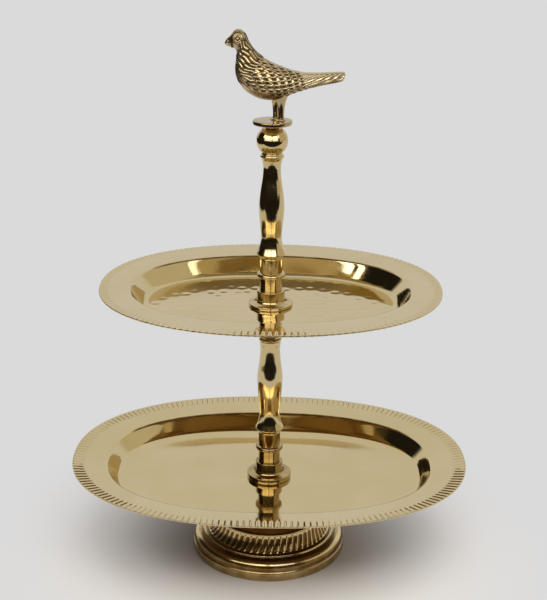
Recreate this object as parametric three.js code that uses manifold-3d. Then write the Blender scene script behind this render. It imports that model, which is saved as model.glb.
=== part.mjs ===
// Two-tier oval cake stand in polished brass. Turned column pieces, two raised trays and a
// hollow round foot are strung on one threaded rod, and a bird finial screws in at the top.
// Millimetres, +Z up. The origin is the centre of the circle the foot stands on. The trays'
// long axis is X, and the bird looks towards -X.
import * as THREE from 'three';
import { mergeVertices } from 'three/addons/utils/BufferGeometryUtils.js';
import Module from 'manifold-3d';

const wasm = await Module();
wasm.setup();

// ---- Driving dimensions -------------------------------------------------------------------

// Threaded rod (M6) and the holes it passes through.
const rodRadius = 3;
const boreRadius = 3.3;
const rodBottom = 32;

// Foot: a hollow casting. From the bottom: a square rim, a round shoulder, a bead, a sloping
// band, a smaller bead, a dome that sweeps up into the neck, and a narrow flange.
const footRadius = 58.8;
const footTop = 57.2;
const footWall = 3;
const footRim = { height: 7.2, bevel: 0.8 };
const shoulder = { radius: 50, height: 9, width: 8, rise: 7 };
const lowerBead = { radius: 48.8, height: 15.6, size: 1.5 };
const footBand = { bottom: [46.7, 16.6], top: [42, 27.8] };
const upperBead = { radius: 40.9, height: 28.9, size: 1 };
const footDome = [[39.4, 29.5], [34.5, 34.8], [26.5, 39.6], [19, 44.6], [15, 51]];
const footFlange = { radius: 16.4, height: 3, cove: 0.8 };
const footHollow = [[13.5, 44], [17, 41.6], [32, 32.4], [38.4, 26.4], [43.6, 13.8], [50, 12.2]];
const bossBottom = 44;

// Washers and nut in the foot, and the thin washer under each tray.
const footWasher = { radius: 12, thickness: 1.6 };
const lockWasher = { radius: 5.9, thickness: 1.6, slit: 1 };
const nut = { acrossFlats: 10, height: 5 };
const trayWasher = { radius: 11, thickness: 0.6 };

// Trays: pressed sheet. Each oval is |x/a|^n + |y/b|^n = 1; heights are from the floor's top.
const sheet = 0.8;
const wallSetOut = 0.45;
const turnClearance = 0.1;
const lip = { depth: 1.2, width: 1.4, edge: 0.4 };
const lowerOvals = {
  rim: { a: 150, b: 111.4, n: 2.23, z: 17.5 },
  brim: { a: 123.9, b: 84.7, n: 2.32, z: 13.9 },
  floor: { a: 114.9, b: 74.4, n: 2.55, z: 0 },
};
const upperOvals = {
  rim: { a: 125.2, b: 103.4, n: 2.18, z: 15.2 },
  brim: { a: 103.1, b: 76.2, n: 2.16, z: 13.8 },
  floor: { a: 93.1, b: 66.3, n: 2.38, z: 0 },
};

// Column: the tiers differ in their flange and in the baluster's swell. Heights are from the
// flange's top.
const lowerFlange = { radius: 17, thickness: 3.7 };
const upperFlange = { radius: 16.4, thickness: 2.2 };
const flangeEdge = 0.5;
const fillet = { foot: 13.3, size: 3 };
const collar = { radius: 10.3, top: 9.5, edge: 0.5 };
const neckRadius = 8.35;
const ring = { radius: 10.4, height: 21.2, thickness: 3.4, roundness: 1.2 };
const balusterBottom = 34;
const balusterCup = [[8.6, 34], [8.7, 34.7], [9.9, 36.2], [10.7, 37.2], [10.7, 37.9]];
const lowerSwell = [
  [10, 39.4], [8.8, 42.7], [7.8, 48.3], [7.7, 52.9], [8.9, 65.9], [9.6, 76.5],
  [9.2, 83.5], [8.1, 91.5], [7.45, 99.5], [7.9, 106.5],
];
const upperSwell = [
  [10, 39.4], [8.7, 42.7], [7.7, 48.3], [7.7, 52.9], [8.9, 65.9], [9.2, 73.5],
  [8.4, 82.5], [6.9, 92.5], [6.4, 99.5], [7.2, 106.5],
];
const balusterRing = { radius: 8.6, height: 109.5, roundness: 1, rise: 1.3 };
const ballJoint = { radius: 7.5, height: 112.2 };
const ball = { radius: 11.3, height: 120.66, top: 129.5 };

// Discs: one carries the upper tray, the other carries the bird.
const disc = { radius: 14, bossRadius: 5, edge: 0.6 };
const supportDisc = { boss: 2.3, thickness: 3 };
const birdDisc = { boss: 2.8, thickness: 2.8 };

// Finial stud: how far it reaches below the disc and into it, and the gap to the rod below.
const studLength = 7.5;
const studSocket = 2.2;
const studGap = { above: 0.3, below: 1.2 };

// Bird: pairs of points down its back and its breast, as [x, height above the disc], with
// half its width between them.
const birdSections = [
  { back: [-32.2, 55.4], breast: [-33.0, 52.2], half: 0.9 },
  { back: [-30.4, 56.4], breast: [-31.6, 51.5], half: 1.9 },
  { back: [-28.4, 60.2], breast: [-28.2, 50.6], half: 3.9 },
  { back: [-23.6, 62.8], breast: [-25.5, 48.6], half: 5.5 },
  { back: [-19.2, 60.0], breast: [-25.4, 45.6], half: 5.8 },
  { back: [-16.8, 54.4], breast: [-25.6, 41.8], half: 6.0 },
  { back: [-13.4, 49.4], breast: [-26.0, 37.2], half: 7.4 },
  { back: [-6.6, 43.8], breast: [-25.4, 30.8], half: 9.8 },
  { back: [1.6, 39.6], breast: [-22.3, 24.4], half: 11.8 },
  { back: [8.6, 36.9], breast: [-16.6, 19.1], half: 12.6 },
  { back: [15.0, 35.0], breast: [-8.0, 15.4], half: 12.4 },
  { back: [21.5, 33.9], breast: [3.0, 15.2], half: 11.2 },
  { back: [29.0, 33.7], breast: [15.6, 19.6], half: 8.6 },
  { back: [37.5, 34.0], breast: [30.2, 24.0], half: 6.2 },
  { back: [49.6, 34.4], breast: [48.0, 28.0], half: 5.0 },
];
const legProfile = [[0, 0], [2.2, 0], [2.1, 6], [2.5, 10.5], [3.4, 14.5], [4.2, 18], [4.2, 20], [0, 20]];
const legPlaces = [[6.1, -1.9], [2.2, 3.2]];

const segments = { tray: 60, foot: 40, column: 18, rod: 18, bird: 14, leg: 12 };

// ---- Heights worked out from the stack ----------------------------------------------------

const footFlangeBottom = footTop - footFlange.height;
const footNeckRadius = footDome.at(-1)[0];
const lowerWasherBottom = footTop;
const lowerFloor = lowerWasherBottom + trayWasher.thickness + turnClearance + sheet;
const lowerColumn = lowerFloor + turnClearance + lowerFlange.thickness;
const supportBottom = lowerColumn + ball.top;
const upperWasherBottom = supportBottom + supportDisc.boss + supportDisc.thickness;
const upperFloor = upperWasherBottom + trayWasher.thickness + turnClearance + sheet;
const upperColumn = upperFloor + turnClearance + upperFlange.thickness;
const finialBottom = upperColumn + ball.top;
const birdFloor = finialBottom + birdDisc.boss + birdDisc.thickness;
const studBottom = finialBottom - studLength;
const rodTop = studBottom - studGap.below;
const washerTop = bossBottom;
const lockWasherTop = washerTop - footWasher.thickness;
const nutTop = lockWasherTop - lockWasher.thickness;

// ---- Materials ----------------------------------------------------------------------------

const finish = (color, metalness, roughness) =>
  new THREE.MeshStandardMaterial({ color, metalness, roughness });
const polishedBrass = finish(0xc9a756, 1, 0.16);
const turnedBrass = finish(0xbf9848, 1, 0.18);
const castBrass = finish(0xb8924a, 1, 0.3);
const zincSteel = finish(0xa9abad, 1, 0.35);
const fibre = finish(0x6b3a2a, 0, 0.85);

// ---- Shape helpers ------------------------------------------------------------------------

/** Points of an elliptical arc in the [radius, height] plane; angles in degrees. */
function arc([r, z], [a, b], from, to, steps) {
  return Array.from({ length: steps + 1 }, (_, i) => {
    const angle = THREE.MathUtils.degToRad(from + ((to - from) * i) / steps);
    return [r + a * Math.cos(angle), z + b * Math.sin(angle)];
  });
}

/** Points of a smooth curve through the given [radius, height] points. */
function through(points, steps) {
  const curve = new THREE.SplineCurve(points.map(([r, z]) => new THREE.Vector2(r, z)));
  return curve.getPoints(steps).map((p) => [p.x, p.y]);
}

/** A closed [radius, height] profile, counter-clockwise, turned about Z. */
function turned(profile, count) {
  const points = profile.map(([r, z]) => new THREE.Vector2(r, z));
  points.push(points[0].clone());
  return new THREE.LatheGeometry(points, count).rotateX(Math.PI / 2);
}

/** A plain ring: outer radius, from one height to another, round a bore. */
function ringPiece(radius, bottom, top, count = segments.column) {
  const profile = [[boreRadius, bottom], [radius, bottom], [radius, top], [boreRadius, top]];
  return turned(profile, count);
}

/** A cylinder standing on the given height. */
function post(radius, bottom, height, count) {
  const geometry = new THREE.CylinderGeometry(radius, radius, height, count);
  return geometry.rotateX(Math.PI / 2).translate(0, 0, bottom + height / 2);
}

/** Closed loops of equal point counts, skinned one to the next. */
function skin(loops, closedEndToEnd) {
  const count = loops[0].length;
  const positions = loops.flat(2);
  const indices = [];
  const spans = closedEndToEnd ? loops.length : loops.length - 1;
  for (let i = 0; i < spans; i++) {
    const here = i * count;
    const next = ((i + 1) % loops.length) * count;
    for (let j = 0; j < count; j++) {
      const k = (j + 1) % count;
      indices.push(here + j, next + j, next + k, here + j, next + k, here + k);
    }
  }
  if (!closedEndToEnd) {
    const last = (loops.length - 1) * count;
    for (let j = 1; j < count - 1; j++) {
      indices.push(0, j, j + 1);
      indices.push(last, last + j + 1, last + j);
    }
  }
  const geometry = new THREE.BufferGeometry();
  geometry.setAttribute('position', new THREE.Float32BufferAttribute(positions, 3));
  geometry.setIndex(indices);
  return geometry;
}

/** A three.js geometry as a manifold solid. */
function solid(geometry) {
  const bare = geometry.clone();
  bare.deleteAttribute('normal');
  bare.deleteAttribute('uv');
  const merged = mergeVertices(bare, 1e-4);
  const mesh = new wasm.Mesh({
    numProp: 3,
    vertProperties: new Float32Array(merged.attributes.position.array),
    triVerts: new Uint32Array(merged.index.array),
  });
  return new wasm.Manifold(mesh);
}

/** A manifold solid as a three.js geometry. */
function geometryOf(body) {
  const mesh = body.getMesh();
  const geometry = new THREE.BufferGeometry();
  const positions = new THREE.Float32BufferAttribute(mesh.vertProperties, mesh.numProp);
  geometry.setAttribute('position', positions);
  geometry.setIndex(Array.from(mesh.triVerts));
  geometry.computeVertexNormals();
  return geometry;
}

// ---- Foot and fastenings ------------------------------------------------------------------

function footGeometry() {
  const { radius, height, width, rise } = shoulder;
  const bead = (b, steps) => arc([b.radius, b.height], [b.size, b.size], -10, 160, steps);
  const outside = [
    [footRadius - footRim.bevel, 0],
    [footRadius, footRim.bevel],
    [footRadius, footRim.height - footRim.bevel],
    [footRadius - footRim.bevel, footRim.height],
    ...arc([radius, height], [width, rise], -12, 72, 5),
    ...bead(lowerBead, 2),
    footBand.bottom,
    footBand.top,
    ...bead(upperBead, 2),
    ...through(footDome, 6),
    [footNeckRadius, footFlangeBottom - footFlange.cove],
    [footFlange.radius, footFlangeBottom],
    [footFlange.radius, footTop],
  ];
  const inside = [
    [boreRadius, footTop],
    [boreRadius, bossBottom],
    ...footHollow,
    [footRadius - footWall, shoulder.height],
    [footRadius - footWall, 0],
  ];
  return turned([...outside, ...inside], segments.foot);
}

function nutGeometry() {
  const cornerRadius = nut.acrossFlats / Math.sqrt(3);
  const hexagon = new THREE.Shape();
  for (let i = 0; i < 6; i++) {
    const angle = (i * Math.PI) / 3;
    const corner = [cornerRadius * Math.cos(angle), cornerRadius * Math.sin(angle)];
    if (i === 0) hexagon.moveTo(...corner);
    else hexagon.lineTo(...corner);
  }
  hexagon.closePath();
  hexagon.holes.push(new THREE.Path().absarc(0, 0, boreRadius, 0, Math.PI * 2, true));
  const options = { depth: nut.height, bevelEnabled: false, curveSegments: segments.rod / 2 };
  return new THREE.ExtrudeGeometry(hexagon, options).translate(0, 0, nutTop - nut.height);
}

function lockWasherGeometry() {
  const bottom = lockWasherTop - lockWasher.thickness;
  const washer = solid(ringPiece(lockWasher.radius, bottom, lockWasherTop));
  const slit = new THREE.BoxGeometry(lockWasher.radius * 2, lockWasher.slit, 4);
  slit.rotateX(THREE.MathUtils.degToRad(30));
  slit.translate(lockWasher.radius, 0, bottom + lockWasher.thickness / 2);
  return geometryOf(washer.subtract(solid(slit)));
}

// ---- Trays --------------------------------------------------------------------------------

const grown = (oval, by, up = 0) => ({ a: oval.a + by, b: oval.b + by, n: oval.n, z: oval.z + up });

/** The oval part of the way from one oval to another. */
function between(from, to, t) {
  const mix = (key) => from[key] + (to[key] - from[key]) * t;
  return { a: mix('a'), b: mix('b'), n: mix('n'), z: mix('z') };
}

/** Ovals that round off the corner between two slopes, t being how far the bend reaches. */
function bend(before, corner, after, [reachBefore, reachAfter], steps) {
  const start = between(corner, before, reachBefore);
  const end = between(corner, after, reachAfter);
  return Array.from({ length: steps + 1 }, (_, i) => {
    const t = i / steps;
    return between(between(start, corner, t), between(corner, end, t), t);
  });
}

function ovalLoop({ a, b, n, z }, floorHeight) {
  return Array.from({ length: segments.tray }, (_, i) => {
    const angle = (i * 2 * Math.PI) / segments.tray;
    const c = Math.cos(angle);
    const s = Math.sin(angle);
    const x = a * Math.sign(c) * Math.abs(c) ** (2 / n);
    const y = b * Math.sign(s) * Math.abs(s) ** (2 / n);
    return [x, y, z + floorHeight];
  });
}

function trayGeometry({ rim, brim, floor }, floorHeight) {
  const hole = { a: boreRadius, b: boreRadius, n: 2, z: 0 };
  const under = (oval) => grown(oval, wallSetOut, -sheet);
  const upside = [
    ...bend(hole, floor, brim, [0.04, 0.24], 3),
    ...bend(floor, brim, rim, [0.1, 0.07], 1),
  ];
  const ovals = [
    hole,
    ...upside,
    grown(rim, -lip.edge),
    grown(rim, 0, -lip.edge),
    grown(rim, 0, -lip.depth),
    grown(rim, -lip.width, -lip.depth),
    grown(rim, -lip.width, -sheet),
    ...upside.map(under).reverse(),
    grown(hole, 0, -sheet),
  ];
  return skin(ovals.map((oval) => ovalLoop(oval, floorHeight)), true);
}

// ---- Column -------------------------------------------------------------------------------

function flangeGeometry({ radius, thickness }) {
  const filletCentre = [collar.radius + fillet.size, fillet.size];
  return turned([
    [boreRadius, -thickness],
    [radius - flangeEdge, -thickness],
    [radius, flangeEdge - thickness],
    [radius, -flangeEdge],
    [radius - flangeEdge, 0],
    [fillet.foot, 0],
    ...arc(filletCentre, [fillet.size, fillet.size], 240, 180, 3),
    [collar.radius, collar.top - collar.edge],
    [collar.radius - collar.edge, collar.top],
    [boreRadius, collar.top],
  ], segments.column);
}

function ringSpoolGeometry() {
  const half = ring.thickness / 2;
  const edgeCentre = [ring.radius - ring.roundness, ring.height];
  return turned([
    [boreRadius, collar.top],
    [neckRadius, collar.top],
    [neckRadius, ring.height - half],
    ...arc(edgeCentre, [ring.roundness, half], -70, 70, 3),
    [neckRadius, ring.height + half],
    [neckRadius, balusterBottom],
    [boreRadius, balusterBottom],
  ], segments.column);
}

function balusterGeometry(swell) {
  const { radius, height, roundness, rise } = balusterRing;
  return turned([
    [boreRadius, balusterBottom],
    ...balusterCup,
    ...through(swell, 12),
    ...arc([radius - roundness, height], [roundness, rise], -60, 60, 2),
    [ballJoint.radius, ballJoint.height],
    [boreRadius, ballJoint.height],
  ], segments.column);
}

function ballGeometry() {
  const bottomAngle = -Math.acos(ballJoint.radius / ball.radius) * THREE.MathUtils.RAD2DEG;
  const topAngle = Math.asin((ball.top - ball.height) / ball.radius) * THREE.MathUtils.RAD2DEG;
  return turned([
    [boreRadius, ballJoint.height],
    ...arc([0, ball.height], [ball.radius, ball.radius], bottomAngle, topAngle, 9),
    [boreRadius, ball.top],
  ], segments.column);
}

/** A disc on a short boss; the bore goes up as far as boreTop. */
function discGeometry({ boss, thickness }, boreTop) {
  const top = boss + thickness;
  const bore = boreTop < top ? [[0, top], [0, boreTop], [boreRadius, boreTop]] : [[boreRadius, top]];
  return turned([
    [boreRadius, 0],
    [disc.bossRadius, 0],
    [disc.bossRadius, boss],
    [disc.radius - disc.edge, boss],
    [disc.radius, boss + disc.edge],
    [disc.radius, top - disc.edge],
    [disc.radius - disc.edge, top],
    ...bore,
  ], segments.column);
}

// ---- Bird ---------------------------------------------------------------------------------

function birdGeometry() {
  const loops = birdSections.map(({ back, breast, half }) => {
    const middle = [(back[0] + breast[0]) / 2, (back[1] + breast[1]) / 2];
    return Array.from({ length: segments.bird }, (_, i) => {
      const angle = (i * 2 * Math.PI) / segments.bird;
      const up = Math.cos(angle);
      const x = middle[0] + (back[0] - middle[0]) * up;
      const z = middle[1] + (back[1] - middle[1]) * up;
      return [x, half * Math.sin(angle), z];
    });
  });
  const legs = legPlaces.map(([x, y]) => solid(turned(legProfile, segments.leg).translate(x, y, 0)));
  const bird = legs.reduce((whole, one) => whole.add(one), solid(skin(loops, false)));
  return geometryOf(bird);
}

// ---- Assembly -----------------------------------------------------------------------------

function piece(name, geometry, material, height = 0) {
  const mesh = new THREE.Mesh(geometry, material.clone());
  mesh.name = name;
  mesh.position.z = height;
  return mesh;
}

function columnPieces(tier, flange, swell, height) {
  const group = new THREE.Group();
  group.position.z = height;
  group.add(
    piece(`${tier}_flange`, flangeGeometry(flange), turnedBrass),
    piece(`${tier}_ring_spool`, ringSpoolGeometry(), turnedBrass),
    piece(`${tier}_baluster`, balusterGeometry(swell), turnedBrass),
    piece(`${tier}_ball`, ballGeometry(), turnedBrass),
  );
  return group;
}

const footWasherGeometry = ringPiece(footWasher.radius, washerTop - footWasher.thickness, washerTop);
const trayWasherGeometry = ringPiece(trayWasher.radius, 0, trayWasher.thickness);
const rodGeometry = post(rodRadius, rodBottom, rodTop - rodBottom, segments.rod);
const studHeight = studLength + studSocket - studGap.above;
const studGeometry = post(rodRadius, studBottom, studHeight, segments.rod);

const stand = new THREE.Group();
stand.add(
  piece('foot_casting', footGeometry(), castBrass),
  piece('foot_washer', footWasherGeometry, zincSteel),
  piece('foot_lock_washer', lockWasherGeometry(), zincSteel),
  piece('foot_nut', nutGeometry(), zincSteel),
  piece('tie_rod', rodGeometry, zincSteel),
  piece('lower_tray_washer', trayWasherGeometry, fibre, lowerWasherBottom),
  piece('lower_tray', trayGeometry(lowerOvals, lowerFloor), polishedBrass),
  columnPieces('lower', lowerFlange, lowerSwell, lowerColumn),
  piece('tray_support_disc', discGeometry(supportDisc, Infinity), turnedBrass, supportBottom),
  piece('upper_tray_washer', trayWasherGeometry.clone(), fibre, upperWasherBottom),
  piece('upper_tray', trayGeometry(upperOvals, upperFloor), polishedBrass),
  columnPieces('upper', upperFlange, upperSwell, upperColumn),
  piece('finial_stud', studGeometry, zincSteel),
  piece('finial_disc', discGeometry(birdDisc, studSocket), castBrass, finialBottom),
  piece('bird', birdGeometry(), castBrass, birdFloor),
);

export default stand;
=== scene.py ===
"""The looks of a two-tier oval cake stand: polished brass, gadrooned trays and a feathered bird."""

import math

import bpy
import numpy as np
from mathutils import Matrix, Vector


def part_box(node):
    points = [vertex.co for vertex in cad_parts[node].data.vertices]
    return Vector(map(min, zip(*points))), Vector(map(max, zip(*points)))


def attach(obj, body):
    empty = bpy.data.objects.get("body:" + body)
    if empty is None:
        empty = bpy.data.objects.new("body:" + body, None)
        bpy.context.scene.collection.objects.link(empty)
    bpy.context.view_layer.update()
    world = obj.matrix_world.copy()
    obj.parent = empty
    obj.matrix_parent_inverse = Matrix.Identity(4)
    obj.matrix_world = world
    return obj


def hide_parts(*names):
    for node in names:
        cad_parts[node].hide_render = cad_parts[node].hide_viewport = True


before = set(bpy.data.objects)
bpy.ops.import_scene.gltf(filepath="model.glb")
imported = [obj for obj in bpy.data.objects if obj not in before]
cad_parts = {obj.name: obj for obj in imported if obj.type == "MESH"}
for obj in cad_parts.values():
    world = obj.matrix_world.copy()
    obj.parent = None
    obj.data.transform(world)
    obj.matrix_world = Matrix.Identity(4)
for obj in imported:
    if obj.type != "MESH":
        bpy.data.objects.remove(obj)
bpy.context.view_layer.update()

MM = 0.001
TAU = 2 * math.pi

# ---- Sizes, in millimetres ------------------------------------------------------------------

BORE = 3.3
SHEET = 0.8
# How far the sloping wall's underside stands outside its upper side, besides being lower.
WALL_SET_OUT = 0.45
LIP_DEPTH = 1.2
LIP_WIDTH = 1.4

# Ovals are half length, half width, exponent and height above the tray's floor. "bend" says how much
# of the floor and of the wall the bend between them takes up, and "hollow" how far the wall bows
# outwards. "groove" is the depth between the rim's ridges, "groove_start" where on the brim they
# start, and "groove_shade" how dark the grooves are painted: painted shade.
TRAYS = {
    "lower": {
        "rim": (150, 111.4, 2.23, 17.5),
        "brim": (123.9, 84.7, 2.32, 13.9),
        "floor": (113.6, 73.2, 2.55, 0),
        "bend": (0.2, 0.26),
        "hollow": 0.1,
        "ridges": 187,
        "groove": 0.62,
        "groove_start": 0.56,
        "groove_shade": 0.75,
        "floor_rings": 14,
        "hammered": False,
    },
    "upper": {
        "rim": (125.2, 103.4, 2.18, 15.2),
        "brim": (103.1, 76.2, 2.16, 13.8),
        "floor": (93.1, 66.3, 2.38, 0),
        "bend": (0.04, 0.22),
        "hollow": 0.3,
        "ridges": 157,
        "groove": 0.34,
        "groove_start": 0.66,
        "groove_shade": 0.55,
        "floor_rings": 84,
        "hammered": True,
    },
}
# Shares of the wall and of the brim that the bend between them takes up.
BRIM_BEND = (0.07, 0.05)
# Where a ridge is sampled across its width, and how high it stands there: a groove, then a flat top.
RIDGE_PLACES = [0.0, 0.11, 0.22, 0.42, 0.68, 0.88]
RIDGE_HEIGHTS = [-0.95, -0.95, 0.0, 0.1, 0.1, 0.0]
# Where the ridges are sampled from their inner ends to the rim.
RIDGE_STEPS = np.array([0, 0.1, 0.2, 0.32, 0.46, 0.6, 0.75, 0.88, 0.97])
# Hammer marks: rows stand closer than marks, none lie by the column, and they fade out near the wall.
DIMPLE = {
    "spacing": 10.5, "row_step": 0.87, "radius": 4.6, "depth": 0.13, "jitter": 0.28,
    "clear": (17, 24), "fade": (0.82, 0.97), "exponent": 2.4,
}

# Column heights are from the flange's top face, and discs' from their boss's underside.
COLLAR = {"radius": 10.3, "top": 9.5}
FILLET = 3.0
NECK = 8.35
RING = {"radius": 10.4, "height": 21.2, "half": 1.7}
BALUSTER_BOTTOM = 34.0
BALUSTER_CUP = [(8.6, 34.0), (8.7, 34.8), (9.9, 36.2), (10.7, 37.2), (10.7, 37.9)]
BALUSTER_SWELL = {
    "lower": [
        (10.0, 39.4), (8.8, 42.7), (7.8, 48.3), (7.7, 52.9), (8.2, 59.4), (8.9, 65.9), (9.6, 76.5),
        (9.2, 83.5), (8.1, 91.5), (7.45, 99.5), (7.5, 103.0), (7.9, 106.5),
    ],
    "upper": [
        (10.0, 39.4), (8.7, 42.7), (7.7, 48.3), (7.7, 52.9), (8.3, 59.4), (8.9, 65.9), (9.2, 73.5),
        (8.4, 82.5), (6.9, 92.5), (6.4, 99.5), (6.55, 103.0), (7.2, 106.5),
    ],
}
BALUSTER_RING = {"radius": 8.6, "height": 109.5}
BALL = {"radius": 11.3, "height": 120.66, "joint": 7.5, "bottom": 112.2, "top": 129.5}
DISC = {"radius": 14.0, "boss": 5.0, "thickness": 2.9}
COLUMN_STEPS = 112
# How bright each tray's flange and ring spool are painted, from 0 for brown to 1 for bright: painted
# shade, deeper on the lower tier.
COLUMN_PAINTED_BRIGHTNESS = {"lower": 0.66, "upper": 0.8}

# Foot: heights from the table, and how bright each stretch is made, from 0 for dark to 1 for bright. The
# side and the roll get painted shade and painted reflection; the rings beside the band are darker.
FOOT_RIDGES = 58
FOOT_RIDGE_COLUMNS = 8
FOOT_RELIEF = 0.7
FOOT_TWIST = math.radians(5)
FOOT_SHADE_AND_TONE = {
    "side": 0.38, "roll_foot": 0.2, "roll_crown": 0.5, "below_band": 0.35, "above_band": 0.3,
}
FOOT_SIDE = [(57.8, 0.0), (58.5, 0.5), (58.8, 1.4), (58.7, 6.1), (58.4, 6.9), (57.9, 7.25)]
FOOT_ROLL = {"centre": (50.0, 9.0), "size": (8.0, 7.0)}
FOOT_BEAD = {"centre": (48.9, 15.5), "size": (1.45, 1.45)}
FOOT_BAND = [(46.7, 16.9), (45.2, 19.2), (43.4, 22.8), (42.0, 27.8)]
FOOT_UPPER_BEAD = {"centre": (40.9, 28.9), "size": (1.0, 1.0)}
FOOT_DOME = [(39.4, 29.5), (34.5, 34.8), (26.5, 39.6), (19.0, 44.6), (15.0, 51.0)]
FOOT_COLLAR = [(15.0, 53.2), (15.3, 53.9), (16.4, 54.4)]
FOOT_HOLLOW = [
    (BORE, 44.0), (13.5, 44.0), (17.0, 41.6), (32.0, 32.4), (38.4, 26.4), (43.6, 13.8),
    (50.0, 12.2), (55.8, 9.0), (55.8, 0.0),
]
THREAD = {"radius": 3.0, "pitch": 1.0, "depth": 0.5, "chamfer": (0.6, 0.5)}
NUT_FLATS = 10.0

# Bird: places along its back and its breast as (x, height above the disc), with half its width.
BIRD_SECTIONS = [
    ((-33.3, 54.0), (-33.3, 52.6), 0.6),
    ((-32.3, 55.8), (-32.2, 51.5), 1.5),
    ((-30.5, 57.6), (-30.5, 50.9), 2.4),
    ((-28.6, 59.7), (-28.6, 50.4), 3.7),
    ((-26.6, 62.1), (-26.6, 49.6), 4.9),
    ((-23.8, 62.9), (-25.6, 48.2), 5.5),
    ((-21.0, 61.9), (-25.3, 46.4), 5.7),
    ((-18.6, 58.9), (-25.4, 44.0), 5.8),
    ((-16.8, 54.6), (-25.5, 41.2), 6.1),
    ((-13.4, 49.4), (-26.0, 36.8), 7.5),
    ((-6.6, 43.8), (-25.3, 30.6), 9.8),
    ((1.6, 39.5), (-22.2, 24.2), 11.8),
    ((8.6, 36.9), (-16.6, 18.9), 12.6),
    ((15.0, 35.0), (-8.0, 15.0), 12.4),
    ((21.5, 33.9), (3.0, 14.8), 11.2),
    ((29.0, 33.7), (15.0, 19.6), 8.8),
    ((37.5, 34.0), (29.0, 23.9), 6.6),
    ((44.0, 34.3), (40.0, 26.3), 5.6),
    ((49.2, 34.4), (47.6, 28.1), 5.0),
    ((50.2, 33.2), (49.6, 29.6), 3.6),
]
BIRD_ROWS = 300
BIRD_COLUMNS = 208
FEATHER_SCALE = {"length": 3.5, "width": 4.8}
EYE = {"x": -24.3, "height": 57.0, "side": 5.25, "ring": 2.0, "tube": 0.55, "ball": 1.0}
LEGS = [(6.1, -1.9), (2.2, 3.2)]
LEG_PROFILE = [(4.9, 20), (4.6, 17.5), (3.4, 14.2), (2.5, 10.5), (2.1, 6.0), (2.0, 3.0), (2.2, 1.0)]
# Each leg's toes as heading in degrees and length: three forwards and one back.
TOES = [(150, 4.2), (180, 4.2), (210, 4.2), (0, 3.0)]


# ---- Meshes ---------------------------------------------------------------------------------

def grid_faces(rows, columns, close_rows=False):
    """Quads between neighbouring rows of a grid whose rows each close on themselves."""
    row = np.arange(rows if close_rows else rows - 1)[:, None]
    column = np.arange(columns)[None, :]
    following = (column + 1) % columns
    above = (row + 1) % rows
    corners = [row * columns + column, row * columns + following,
               above * columns + following, above * columns + column]
    return np.stack([np.broadcast_to(c, (len(row), columns)) for c in corners], -1).reshape(-1, 4)


def capped_faces(rows, columns, flip=False):
    """Faces of a tube with its two ends closed, turned inside out where asked."""
    last = (rows - 1) * columns
    faces = grid_faces(rows, columns).tolist()
    faces += [list(range(columns))[::-1], list(range(last, last + columns))]
    return [face[::-1] for face in faces] if flip else faces


def polar(radius, angle, height):
    """A grid of points from radii, angles and heights."""
    radius, angle, height = np.broadcast_arrays(radius, angle, height)
    return np.stack([radius * np.cos(angle), radius * np.sin(angle), height], -1)


def piece(name, points, faces, material, body, stands_for=None, crease=None, relief=None, rest=None):
    """A shown piece from points in millimetres, riding on a CAD body.

    Relief runs from 0 in a groove to 1 on proud metal, and to 1.5 where a highlight is painted on.
    Below 1 it darkens the metal, as patina in some places and as painted shade in others. Rest
    is a face number and the material that takes over from there.
    """
    mesh = bpy.data.meshes.new(name)
    mesh.from_pydata((np.asarray(points, float) * MM).tolist(), [], [list(f) for f in faces])
    mesh.validate()
    mesh.materials.append(material)
    if rest is not None:
        mesh.materials.append(rest[1])
        later = np.arange(len(mesh.polygons)) >= rest[0]
        mesh.polygons.foreach_set("material_index", later.astype(np.int32))
    mesh.shade_smooth()
    if crease is not None:
        mesh.set_sharp_from_angle(angle=math.radians(crease))
    layer = mesh.attributes.new("relief", "FLOAT", "POINT")
    values = np.ones(len(mesh.vertices)) if relief is None else np.asarray(relief).ravel()
    layer.data.foreach_set("value", values.astype(np.float32))
    made = bpy.data.objects.new(name, mesh)
    bpy.context.scene.collection.objects.link(made)
    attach(made, body)
    if stands_for:
        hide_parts(stands_for)
    return made


def through(points, steps):
    """A smooth curve through the points, with that many steps between neighbours."""
    p = np.array(points, float)
    p = np.vstack([2 * p[0] - p[1], p, 2 * p[-1] - p[-2]])
    t = np.arange(steps)[:, None] / steps
    spans = []
    for a, b, c, d in zip(p, p[1:], p[2:], p[3:]):
        curve = (2 * a - 5 * b + 4 * c - d) * t ** 2 + (3 * b - a - 3 * c + d) * t ** 3
        spans.append(b + (c - a) * t / 2 + curve / 2)
    return np.vstack([*spans, p[-2:-1]])


def arc(centre, size, start, end, steps):
    """Points on an ellipse's arc, with angles in degrees."""
    angle = np.radians(np.linspace(start, end, steps + 1))
    return np.stack([centre[0] + size[0] * np.cos(angle), centre[1] + size[1] * np.sin(angle)], 1)


def softened(outline, size=0.3, steps=4, least=14):
    """A closed outline with each corner sharper than that many degrees rounded off."""
    p = np.array(outline, float)
    made = []
    for i, corner in enumerate(p):
        back, on = p[i - 1] - corner, p[(i + 1) % len(p)] - corner
        back_length, on_length = np.linalg.norm(back), np.linalg.norm(on)
        cosine = np.dot(back, on) / (back_length * on_length)
        if 180 - math.degrees(math.acos(np.clip(cosine, -1, 1))) < least:
            made.append(corner)
            continue
        reach = min(size, 0.42 * back_length, 0.42 * on_length)
        start, end = corner + back / back_length * reach, corner + on / on_length * reach
        for t in np.linspace(0, 1, steps + 1):
            made.append((1 - t) ** 2 * start + 2 * t * (1 - t) * corner + t ** 2 * end)
    return np.array(made)


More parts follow.
